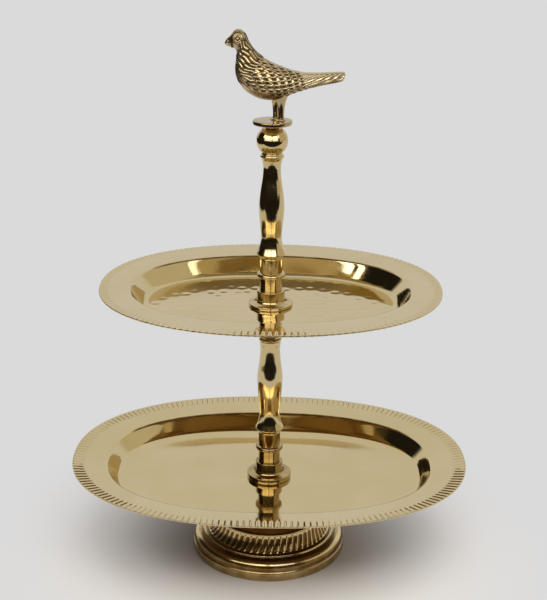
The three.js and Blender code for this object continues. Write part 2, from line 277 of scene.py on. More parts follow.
def turned(name, outline, material, body, height=0.0, columns=COLUMN_STEPS, place=(0, 0), painted_brightness=1.0):
    """A piece turned on the lathe from a closed (radius, height) outline."""
    angle = np.arange(columns) * TAU / columns
    grid = polar(outline[:, :1], angle, outline[:, 1:] + height)
    points = grid.reshape(-1, 3) + (*place, 0)
    faces = grid_faces(len(outline), columns, close_rows=True)
    stands_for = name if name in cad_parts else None
    # A brightness below 1 paints shade onto the piece.
    relief = np.full(len(points), painted_brightness)
    return piece(name, points, faces, material, body, stands_for, crease=40, relief=relief)


def bottom(node):
    """A CAD node's lowest height, in millimetres."""
    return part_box(node)[0].z / MM


def top(node):
    """A CAD node's highest height, in millimetres."""
    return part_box(node)[1].z / MM


def smooth(low, high, value):
    """0 up to the low value, 1 from the high one, and an easy curve between."""
    t = np.clip((value - low) / (high - low), 0, 1)
    return t * t * (3 - 2 * t)


def hump(value, centre, width):
    """1 at the centre, falling away on both sides over about that width."""
    return np.exp(-(((value - centre) / width) ** 2))


# ---- Materials ------------------------------------------------------------------------------

class Shader:
    """The node tree of a material or a world, with short ways to add and join nodes."""

    def __init__(self, owner):
        owner.use_nodes = True
        self.owner = owner
        self.tree = owner.node_tree
        self.tree.nodes.clear()

    def add(self, kind, values=None, **settings):
        node = self.tree.nodes.new(kind)
        for key, value in settings.items():
            setattr(node, key, value)
        for key, value in (values or {}).items():
            if isinstance(value, bpy.types.NodeSocket):
                self.tree.links.new(value, node.inputs[key])
            else:
                node.inputs[key].default_value = value
        return node

    def math(self, operation, a, b=0.5):
        return self.add("ShaderNodeMath", {0: a, 1: b}, operation=operation).outputs[0]

    def noise(self, coordinates, scale, detail=3.0, roughness=0.55):
        values = {"Vector": coordinates, "Scale": scale, "Detail": detail, "Roughness": roughness}
        return self.add("ShaderNodeTexNoise", values).outputs["Fac"]

    def ranged(self, value, low, high, to_low, to_high, smooth_step=False):
        kind = "SMOOTHSTEP" if smooth_step else "LINEAR"
        values = {"Value": value, "From Min": low, "From Max": high, "To Min": to_low, "To Max": to_high}
        return self.add("ShaderNodeMapRange", values, interpolation_type=kind).outputs["Result"]

    def blend(self, share, first, second):
        node = self.add("ShaderNodeMix", data_type="RGBA")
        for index, value in ((0, share), (6, first), (7, second)):
            if isinstance(value, bpy.types.NodeSocket):
                self.tree.links.new(value, node.inputs[index])
            else:
                node.inputs[index].default_value = value
        return node.outputs[2]

    def surface(self, shader):
        output = self.add("ShaderNodeOutputMaterial")
        self.tree.links.new(shader.outputs[0], output.inputs["Surface"])
        return self.owner


def slot_shader(name, slot):
    """A new material's shader, marked with the record's slot that it belongs to."""
    material = bpy.data.materials.new(name)
    material["slot"] = slot
    return Shader(material)


# The colour of the painted highlight, laid on where relief goes above 1.
PAINTED_HIGHLIGHT = (0.86, 0.73, 0.48, 1)


def metal(name, slot, colour, worn, rough, ripple=0.0, grain=(1, 1, 1), grain_depth=0.1, patina_and_shade=None):
    """Polished metal: cloudy colour and roughness, buffing marks, and soft ripples. Where relief is low
    the colour darkens, as patina in some places and as painted shade in others, and above 1 it takes
    a painted highlight.
    """
    s = slot_shader(name, slot)
    place = s.add("ShaderNodeTexCoord").outputs["Object"]
    cloud = s.noise(place, 24, 4)
    smudge = s.noise(place, 95, 5, 0.62)
    stretched = s.add("ShaderNodeMapping", {"Vector": place, "Scale": grain}).outputs["Vector"]
    hairline = s.noise(stretched, 900, 2, 0.5)
    base = s.blend(s.ranged(cloud, 0.35, 0.68, 0, 1), (*colour, 1), (*worn, 1))
    roughness = s.ranged(smudge, 0.3, 0.75, rough[0], rough[1])
    if patina_and_shade:
        relief = s.add("ShaderNodeAttribute", attribute_name="relief").outputs["Fac"]
        shade = s.math("ADD", relief, s.ranged(smudge, 0.3, 0.7, -0.12, 0.12))
        deep = s.ranged(shade, patina_and_shade["from"], patina_and_shade["to"], 1, 0, smooth_step=True)
        base = s.blend(deep, base, (*patina_and_shade["colour"], 1))
        base = s.blend(s.ranged(relief, 1.0, 1.5, 0, 1), base, PAINTED_HIGHLIGHT)
        roughness = s.math("ADD", roughness, s.ranged(deep, 0, 1, 0, patina_and_shade["rough"]))
    fine = s.add("ShaderNodeBump", {"Height": hairline, "Strength": grain_depth, "Distance": 0.0001})
    waves = s.noise(place, 42, 1, 0.4)
    bump = s.add("ShaderNodeBump", {
        "Height": waves, "Strength": ripple, "Distance": 0.001, "Normal": fine.outputs[0],
    })
    return s.surface(s.add("ShaderNodeBsdfPrincipled", {
        "Base Color": base, "Metallic": 1.0, "Roughness": roughness, "Normal": bump.outputs[0],
    }))


def fibre_material():
    """Vulcanised fibre: matt, dark red and flecked."""
    s = slot_shader("fibre", "fibre")
    place = s.add("ShaderNodeTexCoord").outputs["Object"]
    fleck = s.noise(place, 700, 4, 0.7)
    base = s.blend(s.ranged(fleck, 0.35, 0.7, 0, 1), (0.085, 0.018, 0.012, 1), (0.2, 0.055, 0.03, 1))
    bump = s.add("ShaderNodeBump", {"Height": fleck, "Strength": 0.3, "Distance": 0.0002})
    return s.surface(s.add("ShaderNodeBsdfPrincipled", {
        "Base Color": base, "Roughness": s.ranged(fleck, 0.3, 0.7, 0.6, 0.85),
        "Normal": bump.outputs[0],
    }))


tray_brass = metal(
    "tray_brass", "tray_brass", (0.71, 0.575, 0.30), (0.745, 0.605, 0.335), (0.05, 0.11),
    ripple=0.05, grain=(0.25, 1, 1), grain_depth=0.05,
    patina_and_shade={"from": 0.0, "to": 0.6, "colour": (0.16, 0.09, 0.025), "rough": 0.2},
)
# The trays' undersides: dull brass whose darkness is painted shade, deepest under the lower tray.
undersides_painted_shade = {
    "lower": metal(
        "lower_underside_painted_shade", "tray_brass", (0.085, 0.04, 0.012), (0.13, 0.065, 0.02), (0.36, 0.5),
        ripple=0.1, grain_depth=0.15,
    ),
    "upper": metal(
        "upper_underside_painted_shade", "tray_brass", (0.28, 0.155, 0.035), (0.34, 0.20, 0.055), (0.36, 0.5),
        ripple=0.1, grain_depth=0.15,
    ),
}
turned_brass = metal(
    "turned_brass", "turned_brass", (0.66, 0.51, 0.245), (0.71, 0.56, 0.30), (0.08, 0.14),
    ripple=0.03, grain=(0.05, 0.05, 1), grain_depth=0.06,
    patina_and_shade={"from": 0.3, "to": 0.95, "colour": (0.22, 0.12, 0.03), "rough": 0.03},
)
cast_brass = metal(
    "cast_brass", "cast_brass", (0.72, 0.55, 0.26), (0.76, 0.61, 0.33), (0.13, 0.21),
    ripple=0.05, grain_depth=0.08,
    patina_and_shade={"from": 0.05, "to": 0.75, "colour": (0.19, 0.09, 0.018), "rough": 0.12},
)
bird_brass = metal(
    "bird_brass", "bird_brass", (0.60, 0.45, 0.235), (0.70, 0.555, 0.325), (0.20, 0.33),
    ripple=0.05, grain_depth=0.15,
    patina_and_shade={"from": 0.15, "to": 0.9, "colour": (0.07, 0.04, 0.016), "rough": 0.2},
)
finial_polish = metal(
    "finial_polish", "bird_brass", (0.45, 0.32, 0.135), (0.53, 0.40, 0.20), (0.12, 0.22),
    ripple=0.12, grain_depth=0.1,
    patina_and_shade={"from": 0.15, "to": 0.9, "colour": (0.07, 0.04, 0.016), "rough": 0.2},
)
zinc_steel = metal(
    "zinc_steel", "zinc_steel", (0.55, 0.56, 0.57), (0.66, 0.66, 0.64), (0.24, 0.42),
    ripple=0.04, grain=(1, 1, 0.1), grain_depth=0.25,
)
fibre = fibre_material()


# ---- Trays ----------------------------------------------------------------------------------

def oval_points(oval, normal):
    """Points of an oval where its outward normal has each of the given angles."""
    a, b, n, z = oval
    cosine, sine = np.abs(np.cos(normal)), np.abs(np.sin(normal))
    share = (a * cosine) / np.maximum(b * sine, 1e-12)
    share = np.minimum(share ** (1 / (n - 1)), 1e9)
    y = (1 + share ** n) ** (-1 / n)
    x = np.minimum(share * y, 1)
    signed = [a * x * np.sign(np.cos(normal)), b * y * np.sign(np.sin(normal))]
    return np.stack([*signed, np.full_like(x, z)], 1)


def normals_round(oval, shares):
    """Normal angles at the given shares of an oval's length, going round from its right end."""
    quarter = np.linspace(0, 1, 4001) ** 2 * math.pi / 2
    dense = np.concatenate([quarter, math.pi - quarter[-2::-1]])
    dense = np.concatenate([dense, dense[1:] + math.pi])
    points = oval_points(oval, dense)
    walked = np.concatenate([[0], np.cumsum(np.linalg.norm(np.diff(points, axis=0), axis=1))])
    return np.interp(shares * walked[-1], walked, dense)


def mix(first, second, share):
    """The oval at that share of the way between two ovals."""
    return first + (second - first) * share


def grown(oval, by, up=0.0):
    """An oval made larger all round, and raised."""
    return oval + np.array([by, by, 0, up])


def bend(before, corner, after, reach, steps):
    """Ovals that round off the corner between two slopes."""
    start = corner + (before - corner) * reach[0]
    end = corner + (after - corner) * reach[1]
    return [
        (1 - t) ** 2 * start + 2 * t * (1 - t) * corner + t ** 2 * end
        for t in np.linspace(0, 1, steps + 1)
    ]


def dimples(x, y, half_length, half_width):
    """Depth of the hammer marks at each place: shallow round dents, scattered on a loose grid."""
    rng = np.random.default_rng(7)
    spacing = DIMPLE["spacing"]
    depth = np.zeros_like(x)
    rows = int(half_width / (spacing * DIMPLE["row_step"])) + 1
    columns = int(half_length / spacing) + 1
    for row in range(-rows, rows + 1):
        for column in range(-columns, columns + 1):
            jitter = rng.uniform(-1, 1, 2) * DIMPLE["jitter"] * spacing
            centre_x = (column + 0.5 * (row % 2)) * spacing + jitter[0]
            centre_y = row * spacing * DIMPLE["row_step"] + jitter[1]
            strength = DIMPLE["depth"] * rng.uniform(0.6, 1.25)
            away = ((x - centre_x) ** 2 + (y - centre_y) ** 2) / DIMPLE["radius"] ** 2
            depth = np.maximum(depth, strength * np.clip(1 - away, 0, 1) ** 1.5)
    power = DIMPLE["exponent"]
    outward = (np.abs(x) / half_length) ** power + (np.abs(y) / half_width) ** power
    return depth * smooth(*DIMPLE["clear"], np.hypot(x, y)) * (1 - smooth(*DIMPLE["fade"], outward))


def tray_ovals(shape, rim, brim, floor):
    """The ovals of a tray's upper side in four stretches, and those of its lip and its underside."""
    hole = np.array([BORE, BORE, 2, 0])
    reach = shape["bend"]
    dish = [mix(hole, floor, t) for t in np.linspace(0, 0.99 - reach[0], shape["floor_rings"])]
    wall = bend(hole, floor, brim, reach, 14) + [mix(floor, brim, t) for t in (0.45, 0.6, 0.8)]
    climbs = [oval[3] / brim[3] for oval in wall]
    wall = [grown(oval, shape["hollow"] * 4 * up * (1 - up)) for oval, up in zip(wall, climbs)]
    shoulder = bend(floor, brim, rim, BRIM_BEND, 7) + [mix(brim, rim, t) for t in (0.2, 0.4)]
    start = shape["groove_start"]
    ridged = [mix(brim, rim, start + (1 - start) * step) for step in RIDGE_STEPS]

    lip = [
        grown(rim, -0.12, -0.05), grown(rim, 0, -0.25), grown(rim, 0, 0.2 - LIP_DEPTH),
        grown(rim, -0.25, -LIP_DEPTH), grown(rim, 0.2 - LIP_WIDTH, -LIP_DEPTH),
        grown(rim, -LIP_WIDTH, -SHEET),
    ]
    plain = bend(floor, brim, rim, BRIM_BEND, 4)[::-1] + bend(hole, floor, brim, reach, 6)[::-1]
    underside = [grown(oval, WALL_SET_OUT, -SHEET) for oval in plain]
    under_floor = np.linspace(0.97 - reach[0], 0, 4)
    underside += [grown(mix(hole, floor, t), 0, -SHEET) for t in under_floor]
    return dish, wall, shoulder, ridged, lip, underside


def tray(tier):
    """One tray: its dish, its ridged rim and its turned-down lip, with the underside."""
    shape = TRAYS[tier]
    rim, brim, floor = (np.array(shape[key], float) for key in ("rim", "brim", "floor"))
    shares = (np.arange(shape["ridges"])[:, None] + np.array(RIDGE_PLACES)) / shape["ridges"]
    normal = normals_round(rim, shares.ravel())
    dish, wall, shoulder, ridged, lip, underside = tray_ovals(shape, rim, brim, floor)
    upside = dish + wall + shoulder + ridged
    rings = np.stack([oval_points(oval, normal) for oval in upside + lip + underside])

    ridges = slice(len(upside) - len(ridged), len(upside))
    lip_top = slice(len(upside), len(upside) + 2)
    edge = slice(len(upside) - 1, len(upside) + 3)
    height = np.tile(RIDGE_HEIGHTS, shape["ridges"])
    grooves = np.minimum(height, 0)
    cut = smooth(0, 0.3, RIDGE_STEPS)
    outward = np.stack([np.cos(normal), np.sin(normal)], 1)
    rings[ridges, :, 2] += shape["groove"] * cut[:, None] * height
    rings[lip_top, :, 2] += 0.6 * shape["groove"] * grooves
    rings[edge, :, :2] += (0.4 * grooves)[None, :, None] * outward

    relief = np.ones(rings.shape[:2])
    # Painted shade: the grooves between the ridges, and the lip below them, are darkened.
    groove_shade = shape["groove_shade"] * np.append(cut, [1, 0.7])
    relief[ridges.start:lip_top.stop] += groove_shade[:, None] * grooves
    # The bend at the brim is painted dark at the front and back, fading out towards the tray's ends: a
    # painted shade line.
    bend_start = len(dish) + len(wall)
    relief[bend_start + 1:bend_start + 7] = 1 - 0.85 * smooth(0.3, 0.75, np.abs(np.sin(normal)))
    if shape["hammered"]:
        flat = slice(0, len(dish) + 5)
        x, y = rings[flat, :, 0], rings[flat, :, 1]
        rings[flat, :, 2] -= dimples(x, y, floor[0], floor[1])

    node = f"{tier}_tray"
    rings[..., 2] += bottom(node) + SHEET
    faces = grid_faces(len(rings), len(normal), close_rows=True)
    # The underside takes the darker brass: painted shade.
    under = (edge.stop * len(normal), undersides_painted_shade[tier])
    piece(node, rings.reshape(-1, 3), faces, tray_brass, node, node, relief=relief, rest=under)


# ---- Column ---------------------------------------------------------------------------------

def flange(tier, height):
    """The flange and collar that hold a tray's floor down."""
    thickness = height - bottom(f"{tier}_flange")
    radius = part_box(f"{tier}_flange")[1].x / MM
    outline = np.vstack([
        [(BORE, -thickness), (radius, -thickness), (radius, 0), (COLLAR["radius"] + FILLET, 0)],
        arc((COLLAR["radius"] + FILLET, FILLET + 0.2), (FILLET, FILLET), 262, 184, 10),
        [(COLLAR["radius"], COLLAR["top"]), (BORE, COLLAR["top"])],
    ])
    # Painted shade on the flange and collar.
    painted_brightness = COLUMN_PAINTED_BRIGHTNESS[tier]
    turned(f"{tier}_flange", softened(outline, 0.55), turned_brass, "stand", height, painted_brightness=painted_brightness)


def ring_spool(tier, height):
    """A neck with a ring round its middle."""
    centre, half = RING["height"], RING["half"]
    outline = np.vstack([
        [(BORE, COLLAR["top"]), (NECK, COLLAR["top"]), (NECK - 0.15, centre - half - 0.2)],
        arc((RING["radius"] - 1.3, centre), (1.3, half), -80, 80, 12),
        [(NECK - 0.15, centre + half + 0.2), (NECK, BALUSTER_BOTTOM), (BORE, BALUSTER_BOTTOM)],
    ])
    # Painted shade on the ring spool.
    painted_brightness = COLUMN_PAINTED_BRIGHTNESS[tier]
    turned(f"{tier}_ring_spool", softened(outline, 0.3), turned_brass, "stand", height, painted_brightness=painted_brightness)


def baluster(tier, height):
    """A cup, a double-waisted swell and a ring under the ball's joint."""
    ring = BALUSTER_RING
    outline = np.vstack([
        [(BORE, BALUSTER_BOTTOM)],
        BALUSTER_CUP,
        through(BALUSTER_SWELL[tier], 8),
        arc((ring["radius"] - 1.05, ring["height"]), (1.05, 1.35), -70, 70, 10),
        [(BALL["joint"], BALL["bottom"] - 0.9), (BALL["joint"], BALL["bottom"]), (BORE, BALL["bottom"])],
    ])
    turned(f"{tier}_baluster", softened(outline, 0.4), turned_brass, "stand", height)


def ball(tier, height):
    radius, centre = BALL["radius"], BALL["height"]
    start = -math.degrees(math.acos(BALL["joint"] / radius))
    end = math.degrees(math.asin((BALL["top"] - centre) / radius))
    outline = np.vstack([
        [(BORE, BALL["bottom"])],
        arc((0, centre), (radius, radius), start, end, 40),
        [(BORE, BALL["top"])],
    ])
    turned(f"{tier}_ball", softened(outline, 0.25, least=30), turned_brass, "stand", height)


def disc(node, material, body, bore_top):
    """A disc on a short boss. Its bore stops short where something stands on it."""
    low, high = bottom(node), top(node)
    under = high - low - DISC["thickness"]
    outline = [
        (BORE, 0), (DISC["boss"], 0), (DISC["boss"], under), (DISC["radius"], under),
        (DISC["radius"], high - low),
    ]
    if bore_top is None:
        outline.append((BORE, high - low))
    else:
        outline += [(0.01, high - low), (0.01, bore_top), (BORE, bore_top)]
    turned(node, softened(outline, 0.7), material, body, low)


def column(tier):
    """The turned pieces above one tray, from its flange to its ball."""
    height = bottom(f"{tier}_ring_spool") - COLLAR["top"]
    flange(tier, height)
    ring_spool(tier, height)
    baluster(tier, height)
    ball(tier, height)


# ---- Foot and fastenings --------------------------------------------------------------------

def foot():
    """The cast foot, with a leaning ridge cut into its band between two beads."""
    height = top("foot_casting")
    collar = [*FOOT_COLLAR, (FOOT_COLLAR[-1][0], height), (BORE, height)]
    roll = arc(FOOT_ROLL["centre"], FOOT_ROLL["size"], -13, 74, 22)
    bead = np.vstack([[(50.6, 15.2)], arc(FOOT_BEAD["centre"], FOOT_BEAD["size"], 0, 165, 12)])
    band = through(FOOT_BAND, 8)
    upper_bead = arc(FOOT_UPPER_BEAD["centre"], FOOT_UPPER_BEAD["size"], -30, 165, 10)
    dome = np.vstack([[(39.7, 29.2)], through(FOOT_DOME, 9), softened(collar, 0.35)])
    outline = np.vstack([FOOT_SIDE, roll, bead, band, upper_bead, dome, FOOT_HOLLOW])
    roll_start = len(FOOT_SIDE)
    band_start = roll_start + len(roll) + len(bead)
    band_end = band_start + len(band)
    dome_start = band_end + len(upper_bead)

    count = FOOT_RIDGES * FOOT_RIDGE_COLUMNS
    angle = np.arange(count) * TAU / count
    r = np.repeat(outline[:, :1], count, 1)
    z = np.repeat(outline[:, 1:], count, 1)
    rows = slice(band_start, band_end)
    climb = np.linspace(0, 1, len(band))[:, None]
    phase = (angle[None, :] - FOOT_TWIST * climb) * FOOT_RIDGES / TAU
    across = np.abs((phase % 1) * 2 - 1)
    ends = smooth(0, 0.1, climb) * (1 - smooth(0.9, 1, climb))
    crest = across ** 2.6
    r[rows] += FOOT_RELIEF * ends * (crest - 0.6)
    z[rows] += 0.3 * FOOT_RELIEF * ends * (crest - 0.6)

    relief = np.ones_like(r)
    relief[rows] = 1 - ends * (0.15 + (1 - crest) * 0.85)
    # Painted shade and painted reflection on the side, and on the foot and crown of the roll.
    relief[:roll_start] = FOOT_SHADE_AND_TONE["side"]
    relief[roll_start:roll_start + 11] = FOOT_SHADE_AND_TONE["roll_foot"]
    relief[roll_start + 17:roll_start + 22] = FOOT_SHADE_AND_TONE["roll_crown"]
    relief[band_start - 1] = FOOT_SHADE_AND_TONE["below_band"]
    relief[band_end] = FOOT_SHADE_AND_TONE["above_band"]
    relief[dome_start - 1:dome_start + 2] = FOOT_SHADE_AND_TONE["above_band"]

    points = polar(r, angle, z).reshape(-1, 3)
    faces = grid_faces(len(outline), count, close_rows=True)
    piece("foot_casting", points, faces, cast_brass, "stand", "foot_casting", relief=relief)


def threaded(name, low, high, threads, material, body):
    """A rod with right-hand thread over the given height ranges."""
    pitch, depth, radius = THREAD["pitch"], THREAD["depth"], THREAD["radius"]
    chamfer_in, chamfer_up = THREAD["chamfer"]
    columns = 28
    heights = [low, low + chamfer_up]
    for start, end in threads:
        heights += list(np.arange(start, end, pitch / 8))
    heights = np.unique(np.clip(heights + [high - chamfer_up, high], low, high))[:, None]
    angle = np.arange(columns) * TAU / columns
    cut = np.abs(((heights / pitch - angle / TAU) % 1) * 2 - 1)
    inside = np.zeros_like(heights)
    for start, end in threads:
        cut_in = smooth(start, start + 1, heights) * (1 - smooth(end - 1, end, heights))
        inside = np.maximum(inside, cut_in)
    r = radius - depth * inside * (1 - cut)
    r[[0, -1]] -= chamfer_in
    rings = polar(r, angle, heights)
    centred = (0.02, 0.02, 1)
    rings = np.concatenate([rings[:1] * centred, rings, rings[-1:] * centred])
    faces = capped_faces(len(rings), columns)
    piece(name, rings.reshape(-1, 3), faces, material, body, name, crease=50)


def nut():
    """A hexagon nut with its corners chamfered at both faces."""
    low, high = bottom("foot_nut"), top("foot_nut")
    columns = 120
    angle = np.arange(columns) * TAU / columns
    from_flat = np.abs((angle + math.pi / 6) % (math.pi / 3) - math.pi / 6)
    hexagon = NUT_FLATS / 2 / np.cos(math.pi / 6 - from_flat)
    insets = [0, 0.25, 0.6]
    levels = [(low + inset, inset) for inset in insets]
    levels += [(high - inset, inset) for inset in insets[::-1]]
    rows = [polar(BORE, angle, low)]
    for z, inset in levels:
        cone = NUT_FLATS / 2 - 0.25 + inset * 1.7
        rows.append(polar(np.minimum(hexagon, cone), angle, z))
    rows.append(polar(BORE, angle, high))
    rings = np.stack(rows)
    faces = grid_faces(len(rings), columns, close_rows=True)
    piece("foot_nut", rings.reshape(-1, 3), faces, zinc_steel, "stand", "foot_nut", crease=20)


def lock_washer():
    """A split spring washer: a square bar bent into a ring that doesn't quite close."""
    low, high = bottom("foot_lock_washer"), top("foot_lock_washer")
    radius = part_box("foot_lock_washer")[1].y / MM
    outline = softened([(BORE, low), (radius, low), (radius, high), (BORE, high)], 0.2, 2)
    gap = math.radians(7)
    angles = np.linspace(gap, TAU - gap, 72)
    slant = (outline[:, 1] - outline[:, 1].mean()) * 0.09
    rings = polar(outline[:, 0], angles[:, None] + slant, outline[:, 1])
    faces = capped_faces(len(rings), len(outline), flip=True)
    node = "foot_lock_washer"
    piece(node, rings.reshape(-1, 3), faces, zinc_steel, "stand", node, crease=40)


def washer(node, material):
    low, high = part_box(node)
    radius, height = high.x / MM, (high.z - low.z) / MM
    outline = [(BORE, 0), (radius, 0), (radius, height), (BORE, height)]
    turned(node, softened(outline, height * 0.25), material, "stand", low.z / MM)


# ---- Bird -----------------------------------------------------------------------------------

def scales(along, across):
    """Overlapping scales, tips towards the tail: a raised edge round a hollow, from 0 to 1."""
    length, width = FEATHER_SCALE["length"], FEATHER_SCALE["width"]
    best = np.full(along.shape, -1.0)
    row = np.floor(along / length)
    for back in (2, 1, 0):
        k = row - back
        shift = (k % 2) * 0.5
        j = np.round(across / width - shift)
        du = (along - k * length) / (length * 1.8)
        dv = (across - (j + shift) * width) / (width * 0.58)
        away = np.sqrt(du ** 2 + dv ** 2)
        height = 0.1 + 0.9 * hump(away, 0.76, 0.24)
        covers = (away < 1) & (du > 0)
        best = np.where(covers & (best < 0), height * smooth(0, 0.25, du), best)
    return np.clip(best, 0, 1)


def strokes(along, across, pitch, dash):
    """Long ridges down the body that taper out and start again, out of step with each other."""
    lane = np.floor(across / pitch)
    ridge = 1 - np.abs((across / pitch % 1) * 2 - 1) ** 1.8
    offset = (lane % 2) * 0.5 + 0.13 * np.sin(lane * 2.4)
    dashed = 1 - np.abs(((along / dash + offset) % 1) * 2 - 1) ** 5
    return ridge * (0.3 + 0.7 * dashed)


def bird_surface():
    """The bird's body as a grid, with its spine length and its distance round from the back."""
    flat = [[*back, *breast, half] for back, breast, half in BIRD_SECTIONS]
    fine = through(flat, 24)
    backs, breasts, halves = fine[:, 0:2], fine[:, 2:4], np.maximum(fine[:, 4], 0.2)
    middle = (backs + breasts) / 2
    walked = np.concatenate([[0], np.cumsum(np.linalg.norm(np.diff(middle, axis=0), axis=1))])
    even = np.linspace(0, walked[-1], BIRD_ROWS)
    measures = (backs[:, 0], backs[:, 1], breasts[:, 0], breasts[:, 1], halves)
    back_x, back_z, breast_x, breast_z, half = (np.interp(even, walked, m) for m in measures)
    angle = np.arange(BIRD_COLUMNS) * TAU / BIRD_COLUMNS
    up = np.cos(angle)[None, :]
    x = (back_x + breast_x)[:, None] / 2 + (back_x - breast_x)[:, None] / 2 * up
    z = (back_z + breast_z)[:, None] / 2 + (back_z - breast_z)[:, None] / 2 * up
    y = half[:, None] * np.sin(angle)[None, :]
    grid = np.stack([x, y, z], -1)
    steps = np.linalg.norm(np.diff(grid, axis=1, append=grid[:, :1]), axis=2)
    round_from_back = np.concatenate([np.zeros((BIRD_ROWS, 1)), np.cumsum(steps, 1)[:, :-1]], 1)
    full = steps.sum(1, keepdims=True)
    signed = np.where(round_from_back > full / 2, round_from_back - full, round_from_back)
    return grid, np.broadcast_to(even[:, None], signed.shape), signed


def grid_normals(grid):
    """Outward directions at the points of a grid whose rows each close on themselves."""
    along = np.gradient(grid, axis=0)
    across = np.roll(grid, -1, axis=1) - np.roll(grid, 1, axis=1)
    normal = np.cross(across, along)
    normal /= np.maximum(np.linalg.norm(normal, axis=2, keepdims=True), 1e-9)
    return normal


def bird_zones(x, z, along, down):
    """How far each place belongs to each zone of the body, and how near the wing's front edge it is."""
    wing_front = -15.5 + 0.035 * (z - 27) ** 2
    head = 1 - smooth(10.5, 13.5, along)
    tail = smooth(19.5, 23.0, x + 0.45 * (z - 30))
    belly = (1 - smooth(18.0, 21.5, z + 0.25 * x)) * (1 - tail) * (1 - head)
    neck = (1 - head) * (1 - smooth(-1.2, 1.2, x - wing_front)) * (1 - belly)
    scaled = (1 - head) * (1 - neck) * (1 - tail) * (1 - belly)
    saddle = (1 - smooth(2.0, 4.0, down)) * smooth(-8, -2, x)
    wing_edge = hump(x - wing_front, 0.8, 1.3) * (1 - head) * (1 - belly)
    return head, neck, scaled, belly, tail, saddle, wing_edge


def bird_face(x, z, down, head):
    """How deep the lines of the face are cut, and how much its features darken or brighten it."""
    from_eye = np.hypot(x - EYE["x"], z - EYE["height"])
    beak_line = hump(z + 0.25 * (x + 33), 53.0, 0.4) * (1 - smooth(-30.2, -28.6, x))
    cheek = hump(from_eye, 3.6, 0.6) * head * smooth(-28.5, -27, x)
    brow = hump(x, -28.3, 0.9) * head * (1 - smooth(56.5, 59.5, z))
    socket = (1 - smooth(2.2, 3.0, from_eye)) * smooth(2, 4, down)
    beak = 1 - smooth(-29.8, -29.0, x)
    cut = 0.25 * beak_line + 0.2 * cheek + 0.25 * brow
    shade = 0.4 * beak - 0.3 * beak_line - 0.35 * cheek - 0.55 * brow - socket
    return cut, shade


def bird_body(floor):
    """The cast body, with feathers that differ from zone to zone."""
    grid, along, across = bird_surface()
    x, z, down = grid[..., 0], grid[..., 2], np.abs(across)
    head, neck, scaled, belly, tail, saddle, wing_edge = bird_zones(x, z, along, down)
    cut, face_shade = bird_face(x, z, down, head)

    pattern = scaled * scales(along + 0.10 * down, across)
    pattern += 0.92 * neck * strokes(along, across + 0.9 * np.sin(along * 0.5), 2.7, 8.0)
    pattern += belly * (0.35 + 0.5 * strokes(along, across, 1.7, 7.0))
    pattern += tail * 1.2 * (1 - np.abs(((along + 1.5 * down) / 4.6 % 1) * 2 - 1) ** 5)
    pattern += head * 0.72
    pattern += saddle * (0.8 - pattern)

    depth = 0.65 * scaled + 0.65 * neck + 0.2 * belly + 0.7 * tail
    lift = depth * (pattern - 0.55) * (1 - saddle) + 0.35 * wing_edge - cut
    ends = smooth(0, 1.5, along) * (1 - smooth(along.max() - 1.2, along.max(), along))
    grid = grid + grid_normals(grid) * (lift * ends)[..., None]
    grid[..., 2] += floor

    # A painted highlight on the crests of the tail and neck feathers.
    tail_neck_highlight = (0.45 * tail + 0.3 * neck) * smooth(0.7, 1.0, pattern)
    relief = np.clip(pattern - 0.08 * (scaled + neck) + face_shade, 0, 1) + tail_neck_highlight
    faces = capped_faces(BIRD_ROWS, BIRD_COLUMNS, flip=True)
    piece("bird_body", grid.reshape(-1, 3), faces, bird_brass, "finial", "bird", relief=relief)


def eye_points(side):
    """A small ring and the ball in it, about the eye's centre, each as a grid of points."""
    segments, around, bands = 36, 12, 12
    turn = (np.arange(segments) * TAU / segments)[:, None]
    tube = (np.arange(around) * TAU / around)[None, :]
    out = EYE["ring"] + EYE["tube"] * np.cos(tube)
    aside = np.broadcast_to(side * EYE["tube"] * np.sin(tube), (segments, around))
    ring = np.stack([out * np.cos(turn), aside, out * np.sin(turn)], -1)

    rise = (math.pi / 2 * (1 - np.arange(bands) / (bands - 0.5)))[:, None]
    out = EYE["ball"] * np.cos(rise)
    aside = np.broadcast_to(side * (0.7 * np.sin(rise) - 0.1), (bands, segments))
    ball_rows = np.stack([out * np.cos(turn.T), aside, out * np.sin(turn.T)], -1)
    return ring, ball_rows


def bird_eyes(floor):
    for name, side in (("bird_eye_near", -1), ("bird_eye_far", 1)):
        ring, ball_rows = eye_points(side)
        points = np.concatenate([ring.reshape(-1, 3), ball_rows.reshape(-1, 3)])
        start, base = ring.shape[0] * ring.shape[1], len(points) - ball_rows.shape[1]
        faces = grid_faces(*ring.shape[:2], close_rows=True).tolist()
        faces += (grid_faces(*ball_rows.shape[:2]) + start).tolist()
        faces.append(list(range(base, len(points))))
        points += (EYE["x"], side * EYE["side"], EYE["height"] + floor)
        piece(name, points, faces, bird_brass, "finial")


def toe(place, heading, length, floor):
    """A tapering toe that curves down onto the disc."""
    steps, around = 14, 14
    direction = np.array([math.cos(heading), math.sin(heading)])
    aside = np.array([-direction[1], direction[0]])
    rings = []
    for t in np.linspace(0, 1, steps):
        radius = 0.95 * (1 - t) ** 0.45 * (1 - 0.35 * t) + 0.04
        middle = np.array(place) + direction * length * t
        lift = radius * 0.8 + 1.1 * (1 - t) ** 2
        a = np.arange(around) * TAU / around
        flat = middle + np.outer(np.cos(a) * radius, aside)
        rings.append(np.column_stack([flat, floor + lift + np.sin(a) * radius]))
    return np.stack(rings)


